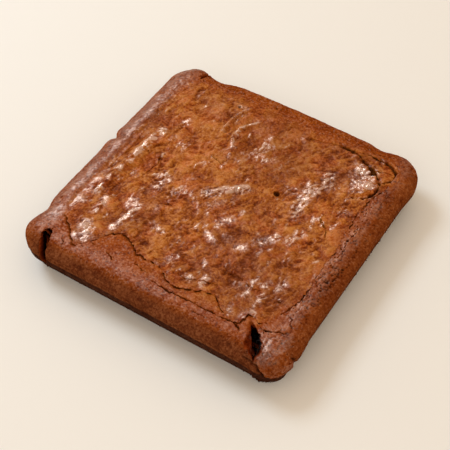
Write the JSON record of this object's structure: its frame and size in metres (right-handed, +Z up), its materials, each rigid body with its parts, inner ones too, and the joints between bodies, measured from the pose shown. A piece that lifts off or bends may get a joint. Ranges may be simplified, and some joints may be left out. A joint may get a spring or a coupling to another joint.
{
  "type": "chocolate brownie",
  "caption": "Whole square slab of chocolate brownie with a crackly glossy top, a puffed matte rim and splits near its corners, resting on a flat base.",
  "frame": {"origin": "centre of the slab's footprint, at the height of the flat base", "axes": "+Z up through the thickness, +X to the slab's right, -Y to its front; the wide corner splits are at the front"},
  "size_m": [0.2022, 0.203, 0.0313],
  "materials": {
    "baked_crust": "baked chocolate crust, satin on top and matte on the rim and sides"
  },
  "bodies": {
    "root": {"brownie": "baked_crust"}
  },
  "joints": []
}
